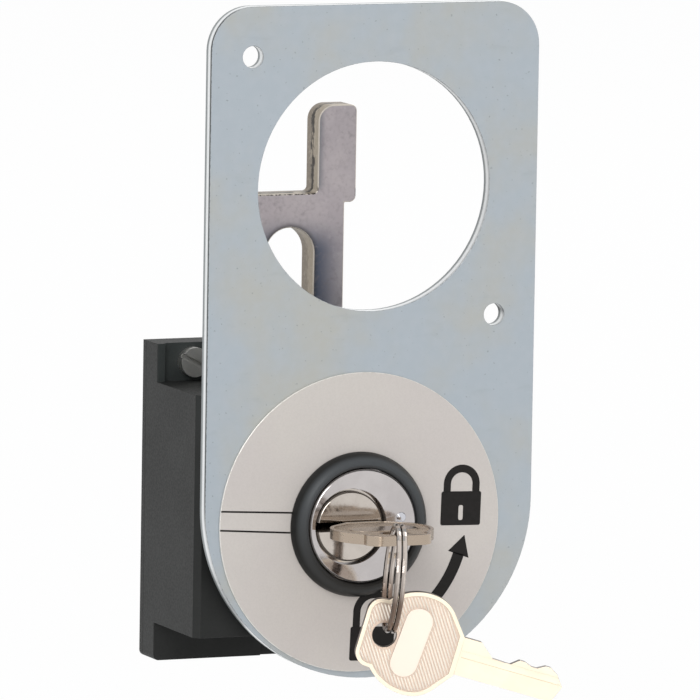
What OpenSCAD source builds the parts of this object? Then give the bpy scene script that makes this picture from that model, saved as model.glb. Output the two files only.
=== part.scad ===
// Panel key lock: a key-operated slide bolt on a front plate.
// Millimetres. X to the right, Y from the front to the rear, Z up.
// The origin is the centre of the operator hole, on the plate's front face.

/* [Front plate] */
// Width of the plate, and twice the radius of its round lower end
plate_w = 72; // [66:0.5:84]
// Thickness of the plate
plate_t = 3; // [2:0.25:4]
// Height of the plate's top edge above the operator hole's centre
plate_top = 37.2; // [34:0.2:45]
// Radius of the two top corners
plate_corner = 9; // [4:0.5:14]
// Diameter of the operator hole
operator_d = 51; // [44:0.5:54]
// Diameter of the two small fixing holes
fixing_d = 4.5; // [3:0.1:5.5]
// Reach of a fixing hole from the operator hole's centre, both across and up
fixing_reach = 27; // [25:0.5:29]

/* [Lock position] */
// Drop of the lock's axis below the operator hole's centre
lock_drop = 69.05; // [66:0.5:80]
// Shift of the lock's axis to the left of the plate's middle
lock_side = 2.6; // [0:0.1:4]
// Rise of the round end's centre above the lock's axis
end_rise = 4.2; // [0:0.2:8]

/* [Label] */
// Diameter of the printed label
label_d = 61.6; // [50:0.2:64]
// Thickness of the printed label
label_t = 0.5; // [0.3:0.1:1]
// Shift of the label's centre to the right of the lock's axis
label_right = 0.4; // [0:0.1:1]
// Rise of the label's centre above the lock's axis
label_up = 0.4; // [0:0.1:1]

/* [Bezel] */
// Outer diameter of the bezel ring
bezel_d = 29.8; // [28:0.2:34]
// Height of the bezel's crest above the label
bezel_h = 3.2; // [2.4:0.1:4]
// Height of the bezel's straight outer edge
bezel_skirt = 0.4; // [0.2:0.1:1]
// Shift of the bezel's crest towards the lock
bezel_lean = 0.7; // [0.2:0.1:0.9]

/* [Barrel] */
// Diameter of the barrel's body, which takes the nut
barrel_d = 22; // [21.6:0.1:22.2]
// Diameter of the barrel's polished face
face_d = 23.3; // [22.6:0.1:23.6]
// Height of the polished face above the label
face_h = 2.9; // [2.4:0.1:3.6]
// Bevel round the polished face
face_bevel = 0.35; // [0.2:0.05:0.5]
// Diameter of the barrel's clamping flange, hidden in the bezel
flange_d = 25.2; // [24:0.2:26]
// Thickness of the clamping flange
flange_rim = 0.8; // [0.5:0.1:1]
// Reach of the barrel's rear end behind the plate's front face
barrel_reach = 22; // [20:0.5:23]
// Diameter of the hard pin in the barrel's face
drill_pin_d = 2; // [1.4:0.1:2.2]
// Length of the hard pin
drill_pin_l = 4; // [3:0.5:4.5]

/* [Plug] */
// Diameter of the plug's body, the shear line of the tumblers
plug_d = 14.4; // [14.2:0.1:15]
// Diameter of the plug's head, which holds it in the barrel
plug_head_d = 15.2; // [15:0.1:15.4]
// Depth of the seat under the plug's head
plug_head_l = 2.5; // [2.2:0.1:3]
// Depth of the plug's face below the barrel's face
plug_sink = 0.4; // [0.3:0.1:0.9]
// Shift of the plug's axis to the left of the barrel's axis
plug_side = 2.76; // [2.6:0.02:2.84]
// Side of the plug's square tail
tail_w = 6; // [5:0.1:6.4]

/* [Key] */
// Diameter of the key's round bow
bow_d = 21.2; // [19:0.2:23]
// Thickness of the bow
bow_t = 2.1; // [1.8:0.1:2.2]
// Distance from the ring hole to the bow's centre
bow_ahead = 6.8; // [6:0.1:8]
// Distance from the ring hole to the blade's shoulder
bow_reach = 15.8; // [15:0.1:17]
// Diameter of the ring hole
key_hole_d = 5; // [4.8:0.1:5.2]
// Width of the lobe round the ring hole
lobe_w = 14.2; // [12:0.2:16]
// Distance from the ring hole to the end of the lobe
lobe_reach = 4.75; // [4.2:0.05:5]
// Length of the blade from its shoulder
blade_l = 22; // [21:0.5:23]
// Thickness of the blade
blade_t = 1.7; // [1.6:0.1:2.1]
// Height of the uncut blade, from its straight back to its cut edge
blade_w = 7.8; // [7.4:0.1:7.9]
// Height of the blade's back below the key's centre line
blade_back = 3.8; // [3.6:0.1:4]
// Shift of the key's centre line from the plug's axis towards the tumblers
key_side = 2.6; // [2.4:0.1:2.7]

/* [Tumblers] */
// Diameter of the tumbler pins
pin_d = 2; // [1.8:0.1:2.2]
// Distance between neighbouring tumblers
pin_pitch = 2.7; // [2.6:0.05:2.8]
// Distance from the blade's shoulder to the first tumbler
pin_first = 7.3; // [7:0.1:8]
// Length of the upper tumbler pins
driver_l = 2.2; // [1.8:0.1:2.6]
// Heights of the key's cuts above the blade's back, from the shoulder on
cut_heights = [5.2, 5.1, 6.4, 5.8, 6.7];

/* [Key ring] */
// Diameter of the split ring at the middle of its wire
ring_d = 21.2; // [20.4:0.1:21.4]
// Diameter of the ring's wire
wire_d = 1.1; // [0.9:0.05:1.15]
// Turn of the ring about the key's hole, front part to the left
ring_turn = 17; // [0:1:25]
// Lean of the ring to the left as it hangs
ring_lean = 5; // [0:0.5:8]
// Dip of the spare key below the horizontal
spare_dip = 11; // [0:0.5:80]

/* [Housing] */
// Thickness of the spacer between the plate and the housing
spacer_t = 3.8; // [3:0.1:6]
// Width of the housing
housing_w = 61.8; // [58:0.2:68]
// Shift of the housing's middle to the left of the lock's axis
housing_side = 1.7; // [0:0.1:3]
// Depth of the housing with its rear cover
housing_depth = 30.4; // [29.4:0.2:34]
// Height of the housing's front box
box_h = 49.8; // [46:0.2:56]
// Height of the strips that the rear flange adds above and below the box
strip_h = 7.9; // [7.2:0.1:10]
// Rise of the housing's middle above the lock's axis
housing_rise = 1.65; // [1:0.05:2]
// Thickness of the flange with the rear cover
flange_t = 7.9; // [7.6:0.1:8.4]
// Thickness of the rear cover
cover_t = 1.8; // [1.6:0.1:2.2]
// Wall thickness of the housing
wall = 2.5; // [2:0.1:3]
// Bevel on the box's upright front edges
box_bevel = 1.2; // [0.5:0.1:2]
// Depth of the pocket round a cover screw's head
pocket_d = 1; // [0.5:0.1:1.5]
// Diameter of a cover screw's head
screw_head_d = 6.1; // [5.5:0.1:6.5]
// Distance of the upper cover screws from the housing's sides
screw_inset = 8; // [7:0.2:10]
// Height of the hexagon nut across its flats
nut_af = 27; // [26:0.5:28]
// Thickness of the hexagon nut
nut_t = 5; // [4:0.25:6]

/* [Locking slide] */
// Thickness of the slide
slide_t = 6.4; // [5.4:0.1:6.8]
// Width of the slide's slot
slot_w = 10.6; // [10:0.1:11]
// Width of each leg beside the slot
leg_w = 6.75; // [6.4:0.05:7.4]
// Shift of the slot's middle to the left of the plug's axis
slot_side = 1.14; // [0.8:0.02:1.3]
// Height of the finger's top above the operator hole's centre
finger_top = 13.65; // [10:0.1:18]
// Width of the finger's shank above the shoulder
finger_w = 6; // [5:0.1:6.6]
// Reach of the hook beyond the finger's shank
hook_reach = 2.5; // [2:0.1:3]
// Drop of the shoulder below the finger's top
shoulder_drop = 18.15; // [16:0.1:20]
// Height of the hook's nose, from its lower edge to the finger's top
hook_h = 20.15; // [18:0.1:22]
// Height of the bridge between the shoulder and the slot's round end
bridge_h = 6.95; // [6:0.1:8]
// Reach of the slide's lower end below the lock's axis
slide_tail = 10.45; // [10:0.1:11]

/* [Drive] */
// Radius of the crank
crank_r = 6.4; // [6:0.05:6.6]
// Diameter of the crank pin
crank_pin_d = 4; // [3.6:0.1:4]
// Angle of the crank pin above the horizontal in the locked position
crank_start = 45; // [40:1:45]

/* [Clearances] */
// Radial running clearance of the plug and the tumblers
running = 0.05; // [0.03:0.01:0.08]
// Gap round the plug's head
head_gap = 0.25; // [0.1:0.05:0.3]
// Clearance of a fixed piece in its seat
seat = 0.02; // [0.01:0.01:0.04]
// Clearance of the key in its keyway, and of the barrel in its holes
slip = 0.15; // [0.1:0.01:0.2]
// Clearance of the slide in its guide
slide_gap = 0.3; // [0.2:0.05:0.4]
// Clearance of the crank pin in the slide's notch
notch_gap = 0.4; // [0.35:0.05:0.5]

/* [Hidden] */
$fn = 64;
over = 1;

// Lock axis, plug axis and the planes along the depth
lock_x = -lock_side;
lock_z = -lock_drop;
plug_x = lock_x - plug_side;
face_y = -label_t - face_h;
housing_front = plate_t + spacer_t;
housing_rear = housing_front + housing_depth;
cover_front = housing_rear - cover_t;
flange_front = housing_rear - flange_t;
housing_z = lock_z + housing_rise;
box_top = housing_z + box_h / 2;
box_bottom = housing_z - box_h / 2;
flange_h = box_h + 2 * strip_h;
flange_top = housing_z + flange_h / 2;
flange_bottom = housing_z - flange_h / 2;
bore_r = barrel_d / 2 + slip;

// Key and tumblers; a cut's height is measured from the blade's back
shoulder_gap = 0.7;
shoulder_y = face_y - shoulder_gap;
key_hole_y = shoulder_y - bow_reach;
key_x = plug_x + key_side;
blade_tip_y = shoulder_y + blade_l;
keyway_end = blade_tip_y + 4 * slip;
pin_count = len(cut_heights);
pin_gap = 0.1;
shear_gap = 0.08;
pin_top = sqrt(pow(plug_d / 2 - shear_gap, 2) - pow(pin_d / 2, 2));
driver_foot = plug_d / 2 + shear_gap;
driver_top = driver_foot + driver_l;
cover_strip = 0.8;
strip_w = pin_d + 0.8;
spring_room = 2.5;
strip_x = driver_top + spring_room;
tumbler_first_y = shoulder_y + pin_first;
tumbler_last_y = tumbler_first_y + (pin_count - 1) * pin_pitch;
strip_margin = pin_d / 2 + 0.3;
groove_w = 1.4;
groove_d = 0.4;
groove_x = 0.6;
head_t = 0.9;
field_d = 0.2;
rim_w = 0.8;
bow_round = 7;
bow_taper = 1.25;
pad_w = 5.6;
pad_l = 14.4;
cut_flat = 1.1;

// Ring: its centre lies ahead of and below the key's hole, so that the wire threads the hole
wire_r = wire_d / 2;
ring_r = ring_d / 2;
ring_pitch = wire_d + 0.05;
ring_outer = ring_r + wire_r;
ring_drop = ring_outer * 0.66;
ring_ahead = sqrt(pow(ring_outer, 2) - pow(ring_drop - bow_t / 2, 2)) - key_hole_d / 2 + 2 * slip;
ring_gap_angle = 15;
ring_end_turn = -52;
spare_hang = 0.9;

// Housing details
slide_rear = cover_front - slide_gap;
slide_front = slide_rear - slide_t;
guide_front = slide_front - slide_gap - wall;
slot_x = plug_x - slot_side;
slide_left = slot_x - slot_w / 2 - leg_w;
slide_right = slot_x + slot_w / 2 + leg_w;
rail_w = 2;
rail_front = slide_front - 4;
washer_t = 0.8;
washer_d = nut_af + 4;
nut_front = housing_front + wall + washer_t;
tab_w = strip_w - 2 * slip;
tab_x = strip_x + cover_strip + slip;
screw_d = 3;
screw_head_h = 2.2;
screw_slot_w = 1;
screw_slot_d = 1.1;
screw_slot_turn = -28;
screw_seat = flange_front + pocket_d;
pocket_rim = 1.8;
panel_d = 0.5;
panel_rim = 4;
panel_corner = 3;
pocket_w = 2 * screw_inset - pocket_rim;
housing_x = lock_x - housing_side;
screw_spots = [
    [housing_x - housing_w / 2 + screw_inset, flange_top - strip_h / 2],
    [housing_x + housing_w / 2 - screw_inset, flange_top - strip_h / 2],
    [housing_x, flange_bottom + strip_h / 2]
];

// Slide heights and drive
shoulder_z = finger_top - shoulder_drop;
hook_z = finger_top - hook_h;
slot_top = shoulder_z - bridge_h;
slide_bottom = lock_z - slide_tail;
tail_bridge = slide_tail - 5.4;
finger_left = slide_right - finger_w;
crank_pin_r = crank_pin_d / 2;
crank_x = plug_x + crank_r * cos(crank_start);
crank_z = lock_z + crank_r * sin(crank_start);
cam_gap = 0.5;
cam_front = barrel_reach + slide_gap;
cam_rear = slide_front - cam_gap;
cam_t = 3.2;
cam_hub_d = 11;
cam_rim = 1.4;
cam_r = crank_r + crank_pin_r + cam_rim;
tail_end = cam_rear - slip;
cam_washer_d = tail_w + 1.4;
cam_washer_t = 0.6;
cam_screw_d = 3;
cam_head_d = 5.4;
cam_head_h = 2;
cam_screw_l = 6;

// A flat outline in X and Z, drawn from depth y0 to depth y1
module slab(y0, y1) {
    translate([0, y1, 0]) rotate([90, 0, 0]) linear_extrude(y1 - y0) children();
}

// A round bar along the depth, through [x, z], from depth y0 to depth y1
module bar(x, z, r, y0, y1) {
    translate([x, y0, z]) rotate([-90, 0, 0]) cylinder(r = r, h = y1 - y0);
}

// A turned form: the profile's height points to the front from [x, y, z]
module turned(x, y, z) {
    translate([x, y, z]) rotate([90, 0, 0]) rotate_extrude() children();
}

// A block between two corners
module block(low, high) {
    translate(low) cube(high - low);
}

// The waste that rounds one corner of a rectangle; sx and sy point into the rectangle
module corner_waste(x, y, sx, sy, r) {
    if (r > 0) difference() {
        translate([sx > 0 ? x - over : x - r, sy > 0 ? y - over : y - r]) square(r + over);
        translate([x + sx * r, y + sy * r]) circle(r);
    }
}

// A rectangle with its corners rounded: lower left, lower right, upper right, upper left
module round_rect(x0, y0, x1, y1, r) {
    difference() {
        translate([x0, y0]) square([x1 - x0, y1 - y0]);
        corner_waste(x0, y0, 1, 1, r[0]);
        corner_waste(x1, y0, -1, 1, r[1]);
        corner_waste(x1, y1, -1, -1, r[2]);
        corner_waste(x0, y1, 1, -1, r[3]);
    }
}

// Round wire carried along a circle about Z, from angle a0 to a1; rise gives Z for an angle
module coil(r, wire, a0, a1, rise, steps, sides) {
    points = [
        for (i = [0:steps], j = [0:sides - 1])
            let (a = a0 + (a1 - a0) * i / steps, b = 360 * j / sides, q = r + wire * cos(b))
            [q * cos(a), q * sin(a), rise(a) + wire * sin(b)]
    ];
    skin = [
        for (i = [0:steps - 1], j = [0:sides - 1], half = [0, 1])
            let (a = i * sides + j, b = i * sides + (j + 1) % sides)
            half == 0 ? [a, b, b + sides] : [a, b + sides, a + sides]
    ];
    first = [for (j = [sides - 1:-1:0]) j];
    last = [for (j = [0:sides - 1]) steps * sides + j];
    polyhedron(points, concat(skin, [first, last]));
}

// Depth of tumbler number i
function tumbler_y(i) = tumbler_first_y + i * pin_pitch;

// Distance of a key's cut from the key's centre line
function cut_y(i) = cut_heights[i] - blade_back;

module plate_outline() {
    translate([0, lock_z + end_rise]) circle(r = plate_w / 2);
    round_rect(-plate_w / 2, lock_z + end_rise, plate_w / 2, plate_top, [0, 0, plate_corner, plate_corner]);
}

// The tab that enters the barrel's slot and stops it from turning
module turn_stop(y0, y1) {
    block([plug_x + tab_x, y0, lock_z - tab_w / 2], [lock_x + bore_r + over, y1, lock_z + tab_w / 2]);
}

module front_plate() color("#aeb4ba") {
    difference() {
        slab(0, plate_t) plate_outline();
        bar(0, 0, operator_d / 2, -over, plate_t + over);
        for (s = [-1, 1]) bar(s * fixing_reach, -s * fixing_reach, fixing_d / 2, -over, plate_t + over);
        bar(lock_x, lock_z, bore_r, -over, plate_t + over);
    }
    turn_stop(0, plate_t);
}

module label_disc() color("#c4c0b8") {
    difference() {
        bar(lock_x + label_right, lock_z + label_up, label_d / 2, -label_t, 0);
        bar(lock_x, lock_z, bore_r, -label_t - over, over);
    }
}

module bezel_ring() color("#2b2c2d") {
    inner = face_d / 2 + running;
    outer = bezel_d / 2;
    middle = (inner + outer) / 2;
    half = (outer - inner) / 2;
    pocket = flange_d / 2 + running;
    lip = flange_rim + 0.4;
    crest = middle - bezel_lean;
    flank = [
        for (t = [0:10:90])
            [middle + half * cos(t) - bezel_lean * sin(t), bezel_skirt + (bezel_h - bezel_skirt) * sin(t)]
    ];
    throat = [for (t = [100:10:180]) [crest + (crest - inner) * cos(t), lip + (bezel_h - lip) * sin(t)]];
    foot = [[inner, flange_rim + running], [pocket, flange_rim + running], [pocket, 0], [outer, 0]];
    turned(lock_x, -label_t, lock_z) polygon(concat(foot, flank, throat));
}

module lock_barrel() color("#c9c6c2") {
    face_r = face_d / 2;
    profile = [
        [0, 0], [flange_d / 2, 0], [flange_d / 2, flange_rim], [face_r, flange_rim],
        [face_r, face_h - face_bevel], [face_r - face_bevel, face_h], [0, face_h]
    ];
    difference() {
        union() {
            turned(lock_x, -label_t, lock_z) polygon(profile);
            bar(lock_x, lock_z, barrel_d / 2, -label_t - flange_rim / 2, barrel_reach);
        }
        bar(plug_x, lock_z, plug_d / 2 + running, face_y, barrel_reach + over);
        bar(plug_x, lock_z, plug_head_d / 2 + head_gap, face_y - over, face_y + plug_head_l + running);
        for (i = [0:pin_count - 1])
            translate([plug_x, tumbler_y(i), lock_z]) rotate([0, 90, 0])
                cylinder(d = pin_d + 2 * running, h = strip_x + over);
        block([plug_x + strip_x, 0, lock_z - strip_w / 2],
              [lock_x + face_d, tumbler_last_y + strip_margin, lock_z + strip_w / 2]);
        bar(drill_pin_x(), drill_pin_z(), drill_pin_d / 2 + seat,
            face_y - over, face_y + drill_pin_l + seat);
    }
}

// The hard pin stands in the thick side of the face, clear of the bevel
function drill_pin_x() = lock_x + face_d / 2 - face_bevel - 3;
function drill_pin_z() = lock_z + 1.5;

module drill_pin() color("#8d8f92") {
    r = drill_pin_d / 2;
    dome = [for (t = [0:15:90]) [r * cos(t), 0.4 * r * sin(t)]];
    foot = [[0, -drill_pin_l], [r, -drill_pin_l]];
    turned(drill_pin_x(), face_y, drill_pin_z()) polygon(concat(foot, dome));
}

module lock_plug() color("#cdc8c0") {
    half_slot = blade_t / 2 + slip;
    slot_right = key_side + blade_w - blade_back + slip;
    rib_x = key_side + groove_x - groove_w / 2 + slip;
    neck = plug_d / 2;
    rise = plug_head_l - plug_sink;
    profile = [
        [0, 0], [plug_head_d / 2, 0], [plug_head_d / 2, head_t], [neck, head_t],
        [neck, rise - face_bevel], [neck - face_bevel, rise], [0, rise]
    ];
    difference() {
        union() {
            turned(plug_x, face_y + plug_head_l, lock_z) polygon(profile);
            bar(plug_x, lock_z, neck, face_y + plug_head_l - over, barrel_reach);
            block([plug_x - tail_w / 2, barrel_reach - over, lock_z - tail_w / 2],
                  [plug_x + tail_w / 2, tail_end, lock_z + tail_w / 2]);
        }
        difference() {
            block([plug_x - plug_head_d, face_y - over, lock_z - half_slot],
                  [plug_x + slot_right, keyway_end, lock_z + half_slot]);
            block([plug_x + rib_x, face_y - 2 * over, lock_z - half_slot - over],
                  [plug_x + rib_x + groove_w - 2 * slip, keyway_end + over, lock_z - half_slot + groove_d]);
        }
        for (i = [0:pin_count - 1])
            translate([plug_x + key_side, tumbler_y(i), lock_z]) rotate([0, 90, 0])
                cylinder(d = pin_d + 2 * running, h = plug_d);
        bar(plug_x, lock_z, cam_screw_d / 2 + seat, tail_end - cam_screw_l, tail_end + over);
    }
}

module key_pins() color("#b89a55") {
    point = pin_d * 0.375;
    for (i = [0:pin_count - 1]) {
        foot = key_side + cut_y(i) + pin_gap;
        translate([plug_x + foot, tumbler_y(i), lock_z]) rotate([0, 90, 0]) {
            cylinder(d1 = pin_d / 3, d2 = pin_d, h = point);
            translate([0, 0, point]) cylinder(d = pin_d, h = pin_top - foot - point);
        }
    }
}

module driver_pins() color("#c2a662") {
    for (i = [0:pin_count - 1])
        translate([plug_x + driver_foot, tumbler_y(i), lock_z]) rotate([0, 90, 0])
            cylinder(d = pin_d, h = driver_l);
}

module tumbler_springs() color("#9a9da1") {
    spring_wire = 0.17;
    spring_r = pin_d / 2 - 2 * spring_wire;
    turns = 3.5;
    pitch = (spring_room - 2 * spring_wire - 2 * running) / turns;
    for (i = [0:pin_count - 1])
        translate([plug_x + driver_top + spring_wire + running, tumbler_y(i), lock_z]) rotate([0, 90, 0])
            coil(spring_r, spring_wire, 0, 360 * turns, function(a) pitch * a / 360, 35, 6);
}

module chamber_cover() color("#b7ab8c") {
    block([plug_x + strip_x, tumbler_first_y - strip_margin, lock_z - strip_w / 2 + seat],
          [plug_x + strip_x + cover_strip, tumbler_last_y + strip_margin - seat,
           lock_z + strip_w / 2 - seat]);
}

// The bow's outline, drawn in by an inset: a disc that tapers to the blade's shoulder, and a lobe
// round the ring hole
module bow_outline(inset) {
    shoulder = blade_back + 0.2;
    side = bow_d;
    slope = sqrt(1 + bow_taper * bow_taper);
    run = (side - shoulder) / bow_taper;
    nose = bow_reach - inset * slope / bow_taper;
    corner = 3 - inset;
    out = [bow_taper / slope, 1 / slope];
    reach = (bow_taper * (bow_reach - bow_ahead) + shoulder) / slope - bow_round;
    along = sqrt(pow(bow_d / 2 - bow_round, 2) - reach * reach);
    from_middle = reach * out + along * [-out[1], out[0]];
    up = from_middle / norm(from_middle);
    turn = [bow_ahead, 0] + from_middle;
    difference() {
        intersection() {
            translate([bow_ahead, 0]) circle(d = bow_d - 2 * inset);
            polygon([
                [-side, -side], [nose - run, -side], [nose, -shoulder],
                [nose, shoulder], [nose - run, side], [-side, side]
            ]);
        }
        for (s = [0, 1])
            mirror([0, s]) polygon([turn, turn + side * out, turn + side * (out + up), turn + side * up]);
    }
    for (s = [-1, 1])
        translate([turn[0], s * turn[1]]) circle(bow_round - inset);
    half = lobe_w / 2 - inset;
    round_rect(-lobe_reach + inset, -half, bow_ahead, half, [corner, 0, 0, corner]);
}

// The bare oblong pad across the bow
module pad_outline() {
    x = bow_ahead - 1.1;
    r = pad_w * 0.49;
    translate([x, 0]) rotate(-4) round_rect(-pad_w / 2, -pad_l / 2, pad_w / 2, pad_l / 2, [r, r, r, r]);
}

// The blade's outline: straight back, one cut with flat root for each tumbler, and a blunt tip
module blade_outline() {
    top = blade_w - blade_back;
    tip = bow_reach + blade_l;
    entry = bow_reach + pin_first - cut_flat / 2;
    cuts = [
        for (i = [0:pin_count - 1], side = [-1, 1])
            [bow_reach + pin_first + i * pin_pitch + side * cut_flat / 2, cut_y(i)]
    ];
    back = [[tip - 1.5, -blade_back], [bow_reach - over, -blade_back], [bow_reach - over, top]];
    ramp = [[entry - 1.2 * (top - cut_y(0)), top]];
    nose = [[tip - 1.7, cut_y(pin_count - 1) - 1], [tip, -0.3]];
    polygon(concat(ramp, cuts, nose, back));
}

// A key with its ring hole at the origin, its blade along X and its cuts towards Y
module key_form() {
    difference() {
        union() {
            linear_extrude(bow_t, center = true) bow_outline(0);
            linear_extrude(blade_t, center = true) blade_outline();
        }
        for (s = [-1, 1])
            translate([0, 0, s * bow_t / 2]) linear_extrude(2 * field_d, center = true) difference() {
                bow_outline(rim_w);
                pad_outline();
            }
        cylinder(d = key_hole_d, h = 4 * bow_t, center = true);
        block([bow_reach + 0.4, groove_x - groove_w / 2, blade_t / 2 - groove_d],
              [bow_reach + blade_l + over, groove_x + groove_w / 2, blade_t]);
    }
}

module lock_key() color("#cfc5b2") {
    translate([key_x, key_hole_y, lock_z]) rotate([180, 0, 90]) key_form();
}

// The ring's own frame: its axis along X, its front towards -Y, its centre at the origin
module on_ring() {
    translate([key_x, key_hole_y, lock_z]) rotate([0, 0, -ring_turn]) rotate([0, ring_lean, 0])
        translate([0, -ring_ahead, -ring_drop]) children();
}

// Two flat turns of wire, with one step from the first plane to the second
module key_ring() color("#b5a594") {
    half = ring_gap_angle;
    rise = function(a)
        let (t = max(0, min(1, (a - 360 + half) / (2 * half))))
        ring_pitch * (t * t * (3 - 2 * t) - 0.5);
    on_ring() rotate([90, 0, 0]) rotate([0, 90, 0]) rotate([0, 0, ring_end_turn])
        coil(ring_r, wire_r, half, 720 - half, rise, 92, 8);
}

// The spare key hangs on the lowest point of the ring
module spare_key() color("#e6dcc6") {
    on_ring() translate([-spare_hang, 0, -ring_r - spare_hang])
        rotate([0, spare_dip, 0]) rotate([90, 0, 0]) key_form();
}

module spacer_ring() color("#3a3b3c") {
    difference() {
        bar(lock_x, lock_z, bezel_d / 2, plate_t, housing_front);
        bar(lock_x, lock_z, bore_r, plate_t - over, housing_front + over);
    }
}

// The box's outline in X and Y, with bevelled front edges
module box_plan() {
    half = housing_w / 2;
    translate([housing_x, 0])
        polygon([
            [-half, housing_front + box_bevel], [-half + box_bevel, housing_front],
            [half - box_bevel, housing_front], [half, housing_front + box_bevel],
            [half, cover_front], [-half, cover_front]
        ]);
}

module housing_outline() {
    half = housing_w / 2;
    round_rect(housing_x - half, flange_bottom, housing_x + half, flange_top, [box_bevel, box_bevel, 0, 0]);
}

module housing() color("#43484a") {
    half = housing_w / 2;
    guide_left = slide_left - slide_gap;
    guide_right = slide_right + slide_gap;
    difference() {
        union() {
            translate([0, 0, box_bottom]) linear_extrude(box_h) box_plan();
            slab(flange_front, cover_front) housing_outline();
            block([guide_left - wall, guide_front, box_top - over],
                  [guide_right + wall, flange_front + over, flange_top]);
        }
        block([housing_x - half + wall, housing_front + wall, box_bottom + wall],
              [housing_x + half - wall, cover_front + over, box_top - wall]);
        block([guide_left, slide_front - slide_gap, box_top - wall - over],
              [guide_right, cover_front + over, flange_top + over]);
        bar(lock_x, lock_z, bore_r, housing_front - over, housing_front + wall + over);
        for (spot = screw_spots)
            bar(spot[0], spot[1], screw_d / 2 + slip, flange_front - over, cover_front + over);
        for (s = [-1, 1])
            translate([housing_x + s * (half - pocket_rim - pocket_w / 2), 0, 0])
                block([-pocket_w / 2, flange_front - over, box_top],
                      [pocket_w / 2, screw_seat, flange_top + over]);
        block([housing_x - pocket_w / 2, flange_front - over, flange_bottom - over],
              [housing_x + pocket_w / 2, screw_seat, box_bottom]);
    }
    for (x = [guide_left - rail_w, guide_right])
        block([x, rail_front, box_bottom + wall - over], [x + rail_w, cover_front, box_top - wall + over]);
    turn_stop(housing_front, housing_front + wall);
}

module nut_washer() color("#9fa2a5") {
    difference() {
        bar(lock_x, lock_z, washer_d / 2, housing_front + wall, nut_front);
        bar(lock_x, lock_z, bore_r, housing_front, nut_front + over);
    }
}

module ring_nut() color("#b9bcc0") {
    difference() {
        translate([lock_x, nut_front, lock_z]) rotate([-90, 0, 0])
            cylinder(d = nut_af / cos(30), h = nut_t, $fn = 6);
        bar(lock_x, lock_z, barrel_d / 2 + seat, nut_front - over, nut_front + nut_t + over);
    }
}

module rear_cover() color("#3d4143") {
    half = housing_w / 2 - panel_rim;
    round_r = panel_corner;
    difference() {
        slab(cover_front, housing_rear) housing_outline();
        slab(housing_rear - panel_d, housing_rear + over)
            round_rect(housing_x - half, flange_bottom + strip_h, housing_x + half, flange_top - strip_h,
                       [round_r, round_r, round_r, round_r]);
        for (spot = screw_spots)
            bar(spot[0], spot[1], screw_d / 2 + seat, cover_front - over, housing_rear + over);
    }
}

module cover_screws() color("#6d6a6d") {
    for (spot = screw_spots)
        difference() {
            union() {
                bar(spot[0], spot[1], screw_head_d / 2, screw_seat - screw_head_h, screw_seat);
                bar(spot[0], spot[1], screw_d / 2, screw_seat - screw_head_h / 2, housing_rear - 2 * slip);
            }
            translate([spot[0], screw_seat - screw_head_h, spot[1]]) rotate([0, -screw_slot_turn, 0])
                cube([2 * screw_head_d, 2 * screw_slot_d, screw_slot_w], center = true);
        }
}

module slide_outline() {
    hook_right = slide_right + hook_reach;
    slot_left = slot_x - slot_w / 2;
    slot_floor = slide_bottom + tail_bridge;
    notch_h = crank_pin_d + 2 * notch_gap;
    notch_right = plug_x + crank_r + crank_pin_r + slide_gap;
    fillet = 1;
    difference() {
        union() {
            round_rect(slide_left, slide_bottom, slide_right, shoulder_z, [1.5, 1.5, 0, 1.5]);
            round_rect(finger_left, hook_z, hook_right, finger_top, [0, 1.3, 1.3, 3.4]);
            difference() {
                translate([finger_left - fillet, shoulder_z - over]) square([fillet + over, fillet + over]);
                translate([finger_left - fillet, shoulder_z + fillet]) circle(fillet);
            }
        }
        translate([slot_left, slot_floor]) square([slot_w, slot_top - slot_w / 2 - slot_floor]);
        translate([slot_x, slot_top - slot_w / 2]) circle(d = slot_w);
        translate([slot_x, crank_z - notch_h / 2]) square([notch_right - slot_x, notch_h]);
    }
}

module locking_slide() color("#a59fa3") {
    slab(slide_front, slide_rear) slide_outline();
}

module drive_cam() color("#a8abae") {
    hole = tail_w + 2 * slip;
    difference() {
        union() {
            bar(plug_x, lock_z, cam_hub_d / 2, cam_front, cam_rear);
            bar(plug_x, lock_z, cam_r, cam_rear - cam_t, cam_rear);
        }
        block([plug_x - hole / 2, cam_front - over, lock_z - hole / 2],
              [plug_x + hole / 2, cam_rear + over, lock_z + hole / 2]);
        bar(crank_x, crank_z, crank_pin_r + seat, cam_front, cam_rear + over);
    }
}

module drive_pin() color("#c4c6c8") {
    bar(crank_x, crank_z, crank_pin_r, cam_rear - cam_t, slide_rear - slide_gap);
}

module cam_washer() color("#b4b7ba") {
    difference() {
        bar(plug_x, lock_z, cam_washer_d / 2, cam_rear, cam_rear + cam_washer_t);
        bar(plug_x, lock_z, cam_screw_d / 2 + slip, cam_rear - over, cam_rear + cam_washer_t + over);
    }
}

module cam_screw() color("#7b7d80") {
    head_y = cam_rear + cam_washer_t;
    difference() {
        union() {
            bar(plug_x, lock_z, cam_head_d / 2, head_y, head_y + cam_head_h);
            bar(plug_x, lock_z, cam_screw_d / 2, tail_end - cam_screw_l + seat, head_y + cam_head_h / 2);
        }
        translate([plug_x, head_y + cam_head_h, lock_z])
            cube([2 * cam_head_d, 2 * screw_slot_d, screw_slot_w], center = true);
    }
}

front_plate();
label_disc();
bezel_ring();
lock_barrel();
drill_pin();
lock_plug();
key_pins();
driver_pins();
tumbler_springs();
chamber_cover();
lock_key();
key_ring();
spare_key();
spacer_ring();
housing();
nut_washer();
ring_nut();
rear_cover();
cover_screws();
locking_slide();
drive_cam();
drive_pin();
cam_washer();
cam_screw();
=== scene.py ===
"""Looks of the panel key lock: materials, printed signs, key ridges, light and camera.

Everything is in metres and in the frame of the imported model. Lengths in millimetres are
multiplied by MM.
"""

import math

import bpy
import numpy as np
from mathutils import Matrix, Vector


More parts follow.
